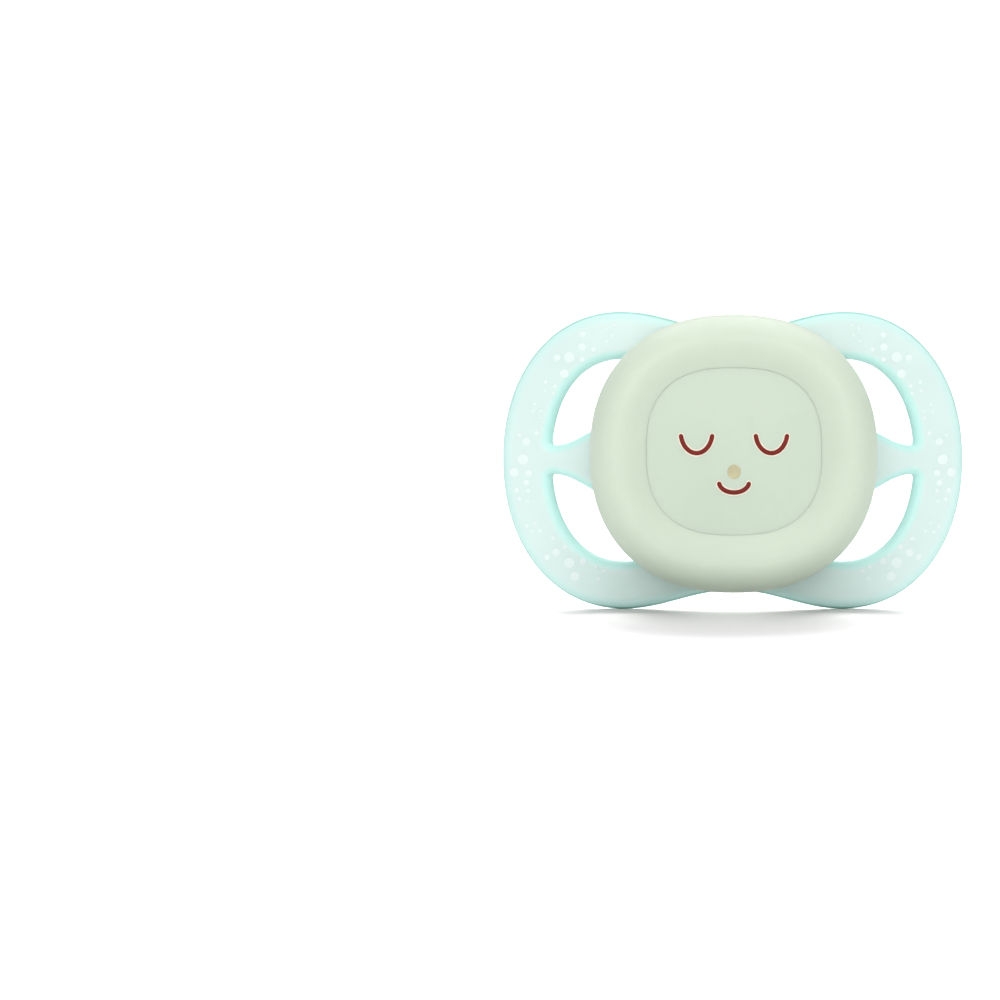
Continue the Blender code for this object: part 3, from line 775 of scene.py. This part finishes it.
class PACIFIER_OT_nipple(bpy.types.Operator):
    """Build the hollow silicone nipple with its flange"""

    bl_idname = "pacifier.nipple"
    bl_label = "Nipple"

    ROUND_NECK = 0.6 * MM  # how far the neck stays round and full behind the hub
    FLANGE_ROUND = 0.2 * MM

    def halves(self, y, inset, settings, hub, tip):
        """Half width and half height along the nipple: neck, waist, bulb, and an elliptical tip."""
        bulb = tip - settings.tip
        waist = hub + settings.waist_reach
        narrow = ease((y - hub - self.ROUND_NECK) / (settings.waist_reach - self.ROUND_NECK))
        widen = ease((y - waist) / (bulb - waist))
        past = np.clip((y - bulb) / (settings.tip - inset), 0, 1)
        stem = settings.neck + (settings.waist - settings.neck) * narrow - inset
        closing = np.sqrt(1 - past**2)
        bulb_sizes = (settings.bulb_width, settings.bulb_height)
        return [(stem + (size / 2 - inset - stem) * widen) * closing for size in bulb_sizes]

    def skin(self, inset, settings, hub, tip):
        """Stations from the tip to the hub, closer together round the tip."""
        bulb = tip - settings.tip
        round_tip = bulb + (settings.tip - inset) * np.cos(np.linspace(0, np.pi / 2, 34))
        stem = np.linspace(bulb, hub + self.ROUND_NECK, 60)[1:]
        y = np.concatenate([round_tip, stem])
        half_x, half_z = self.halves(y, inset, settings, hub, tip)
        return np.stack([half_x, half_z, y], axis=1)

    def execute(self, context):
        settings = context.scene.pacifier_nipple
        hub = context.scene.pacifier_shield.hub_back
        tip, front = NIPPLE_HIGH.y - ORIGIN[1], NIPPLE_LOW.y - ORIGIN[1]
        flange, back = NIPPLE_HIGH.x, front + settings.flange
        outer = self.skin(0, settings, hub, tip)
        inner = self.skin(settings.wall, settings, hub, tip)[::-1]
        neck, inside = settings.neck, settings.neck - settings.wall
        turn = [(neck, back + 0.4 * MM), (neck + 0.1 * MM, back + 0.1 * MM), (neck + 0.4 * MM, back)]
        turn += rounded_rim(flange, front, back, self.FLANGE_ROUND)[::-1]
        turn += [(neck, front), (inside, front), (inside, front + 1.0 * MM)]
        collar = np.array([(radius, radius, y) for radius, y in turn])
        stations = np.concatenate([outer, collar, inner])
        turns = np.linspace(0, math.tau, 144, endpoint=False)
        grid = np.stack(
            [
                stations[:, :1] * np.cos(turns),
                stations[:, 2:] + 0 * turns,
                stations[:, 1:2] * np.sin(turns),
            ],
            axis=-1,
        )
        patches = [(grid, True, {})]
        add_piece("nipple_moulding", patches, silicone_finish(settings), "nipple")
        return {"FINISHED"}


class PACIFIER_OT_plug(bpy.types.Operator):
    """Build the hollow plug that clamps the nipple against its seat"""

    bl_idname = "pacifier.plug"
    bl_label = "Retaining plug"

    BORE = 3.0 * MM
    SPIGOT = 4.8 * MM
    FLANGE = 1.2 * MM  # thickness
    EDGE = 0.2 * MM

    def execute(self, context):
        front, end = PLUG_LOW.y - ORIGIN[1], PLUG_HIGH.y - ORIGIN[1]
        radius, back = PLUG_HIGH.x, front + self.FLANGE
        bore, spigot, edge = self.BORE, self.SPIGOT, self.EDGE
        profile = [(bore + edge, front), (5 * MM, front), (8 * MM, front)]
        profile += rounded_rim(radius, front, back, edge)
        profile += [
            (spigot + 0.3 * MM, back),
            (spigot + 0.07 * MM, back + 0.07 * MM),
            (spigot, back + 0.3 * MM),
            (spigot, (back + end) / 2),
            (spigot, end - 0.6 * MM),
            (spigot - 0.12 * MM, end - 0.25 * MM),
            (spigot - 0.4 * MM, end),
            (bore + edge, end),
            (bore, end - edge),
            (bore, (front + end) / 2),
            (bore, front + edge),
        ]
        patches = [(turned(profile, 128), True, {})]
        add_piece("plug_moulding", patches, natural_finish(), "retaining_plug")
        return {"FINISHED"}


# ---- button, face plate and print ----


class ButtonShape:
    """The button's formulas: rings between the pocket's superellipse and the outline's."""

    TURNS = 260
    TAPER = 0.4 * MM  # how far the side leans in towards the rim
    LIP = 0.02 * MM  # how far the pocket's edge stands in front of the plate

    def __init__(self, settings, plate):
        self.s, self.plate = settings, plate
        self.half = ((BUTTON_HIGH.x - BUTTON_LOW.x) / 2, (BUTTON_HIGH.z - BUTTON_LOW.z) / 2)
        self.centre = (BUTTON_HIGH.z + BUTTON_LOW.z) / 2 - ORIGIN[2]
        self.plate_half = ((PLATE_HIGH.x - PLATE_LOW.x) / 2, (PLATE_HIGH.z - PLATE_LOW.z) / 2)
        self.plate_centre = (PLATE_HIGH.z + PLATE_LOW.z) / 2 - ORIGIN[2]
        self.crown = BUTTON_LOW.y - ORIGIN[1]
        self.plate_front = PLATE_LOW.y - ORIGIN[1]
        self.plate_back = PLATE_HIGH.y - ORIGIN[1]
        self.turns = even_turns((settings.power + plate.power) / 2, self.TURNS)

    def ring(self, half, centre, power, y):
        """A level superellipse with these half sizes, at one height and one depth."""
        x, z = squircle(half[0], half[1], power, self.turns)
        return np.stack([x, y + 0 * x, z + centre], axis=-1)

    def pole(self, y):
        """The plate's middle as a ring of one point, which closes a surface."""
        return np.tile([0.0, y, self.plate_centre], (self.TURNS, 1))

    def front(self, place):
        """A ring of the front: a quarter sine wave up to the crown, then a superelliptic shoulder."""
        inner = [half + self.plate.gap for half in self.plate_half]
        half = [a + (b - a) * place for a, b in zip(inner, self.half)]
        power = self.plate.power + (self.s.power - self.plate.power) * place
        lip = self.plate_front - self.LIP
        if place < self.s.crown:
            y = lip + (self.crown - lip) * math.sin(math.pi / 2 * place / self.s.crown)
        else:
            out = (place - self.s.crown) / (1 - self.s.crown)
            fall = 1 - (1 - out**self.s.shoulder_power) ** (1 / self.s.shoulder_power)
            y = self.crown + self.s.shoulder * fall
        return self.ring(half, self.plate_centre + (self.centre - self.plate_centre) * place, power, y)


class PACIFIER_OT_button(bpy.types.Operator):
    """Build the hollow pillow-shaped button with its pocket, skirt and rib"""

    bl_idname = "pacifier.button"
    bl_label = "Button"

    POCKET_WALL = 1.6 * MM
    ROOM = (0.28 * MM, 0.3 * MM)  # round the plate and behind it
    STANDOFF = 2.8 * MM  # from the middle of the shield's wall to the button's rim
    RIM_CORNER = 0.35 * MM
    SKIRT = (13.3 * MM, 14.5 * MM)
    SKIRT_REACH = 1.9 * MM  # past the collar's front
    LIP_RADIUS = 12.8 * MM  # catches behind the collar's bead
    RIB = (8.0 * MM, 9.2 * MM)
    RIB_REACH = 1.7 * MM

    def swept(self, ring, shape, share):
        """Sweeps a ring back with part of the shield's bow."""
        ring = ring.copy()
        ring[:, 1] += share * shape.bow(ring[:, 0], ring[:, 2])
        return ring

    def execute(self, context):
        settings = context.scene.pacifier_button
        shape = ButtonShape(settings, context.scene.pacifier_plate)
        shield = ShieldShape(context.scene.pacifier_shield)
        add_piece(
            "button_moulding",
            [(np.stack(self.rings(shape, shield, settings)), True, {})],
            satin_finish("button_satin_green", settings.colour, 0.42, 0.010 * MM),
            "button",
        )
        return {"FINISHED"}

    def rings(self, shape, shield, settings):
        """Pocket floor, pocket wall, front, side, rim, inside wall, roof, skirt, rib and ceiling."""
        side_room, back_room = self.ROOM
        floor_y = shape.plate_back + back_room
        ceiling = floor_y + self.POCKET_WALL
        roof = shape.crown + settings.wall
        shoulder = shape.crown + settings.shoulder
        lip = shape.plate_front - shape.LIP
        gap, wall, corner, rim = shape.plate.gap, settings.wall, self.RIM_CORNER, -self.STANDOFF

        def pocket(outset, y):
            half = [size + outset for size in shape.plate_half]
            return shape.ring(half, shape.plate_centre, shape.plate.power, y)

        def shell(inset, y, bow):
            half = [size - inset for size in shape.half]
            return self.swept(shape.ring(half, shape.centre, settings.power, y), shield, bow)

        def disc(radius, y):
            return shape.ring([radius, radius], 0, 2, y)

        rings = [
            shape.pole(floor_y),
            pocket(side_room - 6 * MM, floor_y),
            pocket(side_room - 2 * MM, floor_y),
            pocket(side_room, floor_y),
            pocket(side_room - 0.02 * MM, floor_y - 0.5 * MM),
            pocket(gap + 0.02 * MM, lip + 0.45 * MM),
            pocket(gap, lip + 0.16 * MM),
            pocket(gap, lip + 0.06 * MM),
            pocket(gap + 0.02 * MM, lip + 0.015 * MM),
        ]
        rings += [shape.front(place) for place in np.linspace(0.008, settings.crown, 30, endpoint=False)]
        shoulder_turns = np.sin(np.linspace(0, np.pi / 2, 34))
        rings += [shape.front(place) for place in settings.crown + (1 - settings.crown) * shoulder_turns]
        for step in np.linspace(0, 1, 9)[1:]:
            y = shoulder + (rim - 0.5 * MM - shoulder) * step
            rings.append(shell(shape.TAPER * step**1.5, y, ease(step)))
        cosines, sines = round_corner(corner, 0, 90, 6)
        edge = list(zip(cosines, sines))
        rings += [shell(shape.TAPER + corner - c, rim - corner + s, 1) for c, s in edge[1:]]
        rings += [shell(wall - corner + s, rim - corner + c, 1) for c, s in edge]
        for step in np.linspace(0, 1, 7)[1:]:
            y = rim - corner + (shoulder - rim + corner) * step
            rings.append(shell(wall, y, 1 - 0.8 * step))
        skirt_in, skirt_out = self.SKIRT
        rib_in, rib_out = self.RIB
        skirt_end = self.SKIRT_REACH - COLLAR_REACH
        rib_end = ceiling + self.RIB_REACH
        rings += [
            shell(wall + 0.5 * MM, roof + 1.0 * MM, 0),
            shell(wall + 0.9 * MM, roof + 0.3 * MM, 0),
            shell(wall + 1.5 * MM, roof, 0),
            disc(skirt_out + 0.2 * MM, roof),
            disc(skirt_out, roof + 0.2 * MM),
            disc(skirt_out, skirt_end - 0.25 * MM),
            disc(skirt_out - 0.08 * MM, skirt_end - 0.07 * MM),
            disc(skirt_out - 0.25 * MM, skirt_end),
            disc(self.LIP_RADIUS + 0.1 * MM, skirt_end),
            disc(self.LIP_RADIUS, skirt_end - 0.1 * MM),
            disc(self.LIP_RADIUS, skirt_end - 0.7 * MM),
            disc(skirt_in, skirt_end - 0.85 * MM),
            disc(skirt_in, ceiling + 0.4 * MM),
            disc(skirt_in - 0.1 * MM, ceiling + 0.1 * MM),
            disc(skirt_in - 0.3 * MM, ceiling),
            disc(rib_out + 0.15 * MM, ceiling),
            disc(rib_out, ceiling + 0.15 * MM),
            disc(rib_out, rib_end - 0.15 * MM),
            disc(rib_out - 0.15 * MM, rib_end),
            disc(rib_in + 0.15 * MM, rib_end),
            disc(rib_in, rib_end - 0.15 * MM),
            disc(rib_in, ceiling + 0.15 * MM),
            disc(rib_in - 0.15 * MM, ceiling),
            disc(3 * MM, ceiling),
            disc(0, ceiling),
        ]
        return rings


class PACIFIER_OT_face_plate(bpy.types.Operator):
    """Build the face plate that fills the button's pocket"""

    bl_idname = "pacifier.face_plate"
    bl_label = "Face plate"

    EDGE = 0.012 * MM
    FACE_ROWS = 13

    def execute(self, context):
        settings = context.scene.pacifier_plate
        shape = ButtonShape(context.scene.pacifier_button, settings)
        front, back = shape.plate_front, shape.plate_back

        def ring(inset, y):
            half = [size - inset for size in shape.plate_half]
            return shape.ring(half, shape.plate_centre, settings.power, y)

        middle, face = shape.pole(front), ring(2 * self.EDGE, front)
        rings = [middle + (face - middle) * place for place in np.linspace(0, 1, self.FACE_ROWS + 1)]
        cosines, sines = round_corner(self.EDGE, 90, 0, 8)
        rings += [ring(self.EDGE - c, front + self.EDGE - s) for c, s in zip(cosines, sines)]
        rings += [
            ring(0.02 * MM, (front + back) / 2),
            ring(0.04 * MM, back - 0.1 * MM),
            ring(0.14 * MM, back),
            ring(3 * MM, back),
            shape.pole(back),
        ]
        add_piece(
            "face_plate_moulding",
            [(np.stack(rings), True, {})],
            satin_finish("face_satin_green", settings.colour, 0.36, 0.005 * MM),
            "face_plate",
        )
        return {"FINISHED"}


class PACIFIER_OT_print(bpy.types.Operator):
    """Build the printed sleeping face: two closed eyes, a nose and a smile, as films of ink"""

    bl_idname = "pacifier.print"
    bl_label = "Printed face"

    EYE_HALF = 1.95 * MM
    EYE_DROP = 2.1 * MM
    EYE_HEIGHT = 1.9 * MM  # above the middle of the plate
    MOUTH_HALF = 1.85 * MM
    MOUTH_DROP = 1.05 * MM
    MOUTH_HEIGHT = -4.1 * MM
    NOSE = (0.85 * MM, 0.92 * MM, -2.55 * MM)  # half width, half height, height above the middle
    NOSE_SHARES = np.array([0, 0.5, 0.94, 0.985, 1, 0])[:, None]
    SINK = 0.02 * MM  # how far a film reaches into the plate
    ARC = math.radians(78)  # half the turn of a line
    CAP_STEPS = 8

    def stroke(self, across, height, half, drop, width, low, high):
        """A round-ended line along a hanging arc, as a flat closed film between two depths.

        The path is part of an ellipse: x is the half width times the sine of a turn and z falls by the
        drop times its cosine, both scaled to reach their full size at the path's ends. The line's width
        tapers to nothing as a half circle at each end."""
        turns = np.linspace(-1, 1, 61) * self.ARC
        x = across + half * np.sin(turns) / math.sin(turns[-1])
        z = height - drop * (np.cos(turns) - math.cos(turns[-1])) / (1 - math.cos(turns[-1]))
        path = np.stack([x, z], axis=1)
        ahead = np.gradient(path, axis=0)
        ahead /= np.linalg.norm(ahead, axis=1, keepdims=True)
        caps = np.pi / 2 * np.linspace(0, 1, self.CAP_STEPS, endpoint=False)
        start = path[:1] - ahead[:1] * width / 2 * np.cos(caps)[:, None]
        end = path[-1:] + ahead[-1:] * width / 2 * np.cos(caps[::-1])[:, None]
        line = np.concatenate([start, path, end])
        before = np.repeat(ahead[:1], self.CAP_STEPS, 0)
        after = np.repeat(ahead[-1:], self.CAP_STEPS, 0)
        facing = np.concatenate([before, ahead, after])
        sides = np.stack([-facing[:, 1], facing[:, 0]], axis=1)
        wide = np.concatenate([np.sin(caps), np.ones(len(path)), np.sin(caps[::-1])])
        middle = 0.5 * (low + high)
        section = [(-1, low), (-0.96, middle), (-0.8, high), (0.8, high), (0.96, middle), (1, low)]
        columns = []
        for offset, y in section:
            place = line + sides * (offset * width / 2 * wide)[:, None]
            columns.append(np.stack([place[:, 0], y + 0 * wide, place[:, 1]], axis=1))
        return np.stack(columns, axis=1)

    def execute(self, context):
        settings = context.scene.pacifier_print
        shape = ButtonShape(context.scene.pacifier_button, context.scene.pacifier_plate)
        middle, plate = shape.plate_centre, shape.plate_front
        sunk, film, wide = plate + self.SINK, settings.film, settings.line + 2 * settings.halo
        eye = (middle + self.EYE_HEIGHT, self.EYE_HALF, self.EYE_DROP)
        arcs = [(side * settings.eye_spread, *eye) for side in (-1, 1)]
        arcs.append((0, middle + self.MOUTH_HEIGHT, self.MOUTH_HALF, self.MOUTH_DROP))
        under = [(self.stroke(*arc, wide, sunk, plate - film / 2), True, {}) for arc in arcs]
        lines = [(self.stroke(*arc, settings.line, sunk, plate - film), True, {}) for arc in arcs]
        turns = np.linspace(0, math.tau, 72, endpoint=False)
        half_x, half_z, height = self.NOSE
        depths = np.array([plate - film] * 3 + [plate - film / 2, sunk, sunk])[:, None]
        nose = np.stack(
            [
                half_x * self.NOSE_SHARES * np.cos(turns),
                depths + 0 * turns,
                middle + height + half_z * self.NOSE_SHARES * np.sin(turns),
            ],
            axis=-1,
        )
        for name, patches, ink, tint in (
            ("print_under_lines", under, "ink_pale", settings.under),
            ("print_lines", lines, "ink_red_brown", settings.ink),
            ("print_nose", [(nose, True, {})], "ink_sand", settings.nose),
        ):
            add_piece(name, patches, ink_finish(ink, tint))
        return {"FINISHED"}


# ---- stage ----


class PACIFIER_OT_stage(bpy.types.Operator):
    """Build the plain pale floor, the soft lights and the camera"""

    bl_idname = "pacifier.stage"
    bl_label = "Stage"

    # Name, heading round the object from the front, height above the horizon, width of the glow (all in
    # degrees), strength, and whether it lights the floor only
    LAMPS = (
        ("front_light", -2, 22, 60, 1.2, False),
        ("top_light", 0, 80, 60, 0.6, False),
        ("back_light", 176, 55, 60, 1.1, False),
        ("floor_top_light", 178, 62, 70, 0.6, True),
        ("floor_back_light", 178, 18, 34, 4.9, True),
    )
    SKY = 0.47  # strength of the even light from all round
    FLOOR_LINES, FLOOR_HALF = 41, 9.0  # lines each way, and half the floor's size in metres

    def aim(self, obj, place, target):
        obj.location = place
        obj.rotation_euler = (Vector(target) - Vector(place)).to_track_quat("-Z", "Y").to_euler()

    def floor(self, settings):
        """A level sheet, finer near the middle."""
        lines = self.FLOOR_LINES
        even = np.linspace(-1, 1, lines)
        line = np.sign(even) * np.abs(even) ** 2 * self.FLOOR_HALF
        x, y = np.meshgrid(line, line)
        grid = np.stack([x, y, 0 * x], axis=-1)
        mesh = bpy.data.meshes.new("floor")
        mesh.from_pydata(grid.reshape(-1, 3).tolist(), [], grid_faces(lines, lines).tolist())
        made = Finish("floor_paper", roughness=0.7)
        made.base(made.mix(made.noise(3, 3), tinted(settings.floor, 0.992), settings.floor))
        made.bump(made.noise(900, 3), 0.01 * MM, 0.3)
        mesh.materials.append(made.material)
        floor = bpy.data.objects.new("floor", mesh)
        bpy.context.scene.collection.objects.link(floor)
        return floor

    def execute(self, context):
        settings = context.scene.pacifier_stage
        scene = context.scene
        floor_only = bpy.data.collections.new("floor_only")
        floor_only.objects.link(self.floor(settings))
        for name, heading, height, glow, strength, for_floor in self.LAMPS:
            light = bpy.data.lights.new(name, "SUN")
            light.angle = math.radians(glow)
            light.energy = strength
            lamp = bpy.data.objects.new(name, light)
            scene.collection.objects.link(lamp)
            if for_floor:
                lamp.light_linking.receiver_collection = floor_only
            turn, rise = math.radians(heading), math.radians(height)
            level = math.cos(rise)
            place = (math.sin(turn) * level, -math.cos(turn) * level, math.sin(rise))
            self.aim(lamp, Vector(place), (0, 0, 0))
        world = bpy.data.worlds.new("studio")
        world.use_nodes = True
        sky = world.node_tree.nodes["Background"]
        sky.inputs["Color"].default_value = (1, 1, 1, 1)
        sky.inputs["Strength"].default_value = self.SKY
        scene.world = world
        camera = bpy.data.objects.new("camera", bpy.data.cameras.new("camera"))
        camera.data.lens = camera.data.sensor_width * settings.distance / settings.view_width
        scene.collection.objects.link(camera)
        aim = Vector((settings.aim_x, 0, settings.aim_z))
        back = Vector((0, -math.cos(settings.elevation), math.sin(settings.elevation)))
        self.aim(camera, aim + back * settings.distance, aim)
        scene.camera = camera
        scene.view_settings.view_transform = "Standard"
        return {"FINISHED"}


class PACIFIER_PT_panel(bpy.types.Panel):
    """Lists the pacifier's sizes, colours and build steps"""

    bl_label = "Pacifier"
    bl_idname = "PACIFIER_PT_panel"
    bl_space_type = "VIEW_3D"
    bl_region_type = "UI"
    bl_category = "Pacifier"

    def draw(self, context):
        for key, settings, operators in STEPS:
            box = self.layout.box()
            group = getattr(context.scene, key)
            for name in settings.__annotations__:
                box.prop(group, name)
            for operator in operators:
                box.operator(operator.bl_idname)


# The settings of each step, and the operators that it runs, in building order
STEPS = (
    ("pacifier_shield", ShieldSettings, (PACIFIER_OT_shield,)),
    ("pacifier_bubbles", BubbleSettings, (PACIFIER_OT_bubbles,)),
    ("pacifier_nipple", NippleSettings, (PACIFIER_OT_nipple, PACIFIER_OT_plug)),
    ("pacifier_button", ButtonSettings, (PACIFIER_OT_button,)),
    ("pacifier_plate", PlateSettings, (PACIFIER_OT_face_plate,)),
    ("pacifier_print", PrintSettings, (PACIFIER_OT_print,)),
    ("pacifier_stage", StageSettings, (PACIFIER_OT_stage,)),
)


def register():
    for key, settings, operators in STEPS:
        bpy.utils.register_class(settings)
        setattr(bpy.types.Scene, key, PointerProperty(type=settings))
        for operator in operators:
            bpy.utils.register_class(operator)
    bpy.utils.register_class(PACIFIER_PT_panel)


def unregister():
    bpy.utils.unregister_class(PACIFIER_PT_panel)
    for key, settings, operators in reversed(STEPS):
        for operator in reversed(operators):
            bpy.utils.unregister_class(operator)
        delattr(bpy.types.Scene, key)
        bpy.utils.unregister_class(settings)


def main():
    register()
    for _, _, operators in STEPS:
        for operator in operators:
            group, name = operator.bl_idname.split(".")
            getattr(getattr(bpy.ops, group), name)()


if __name__ == "__main__":
    main()
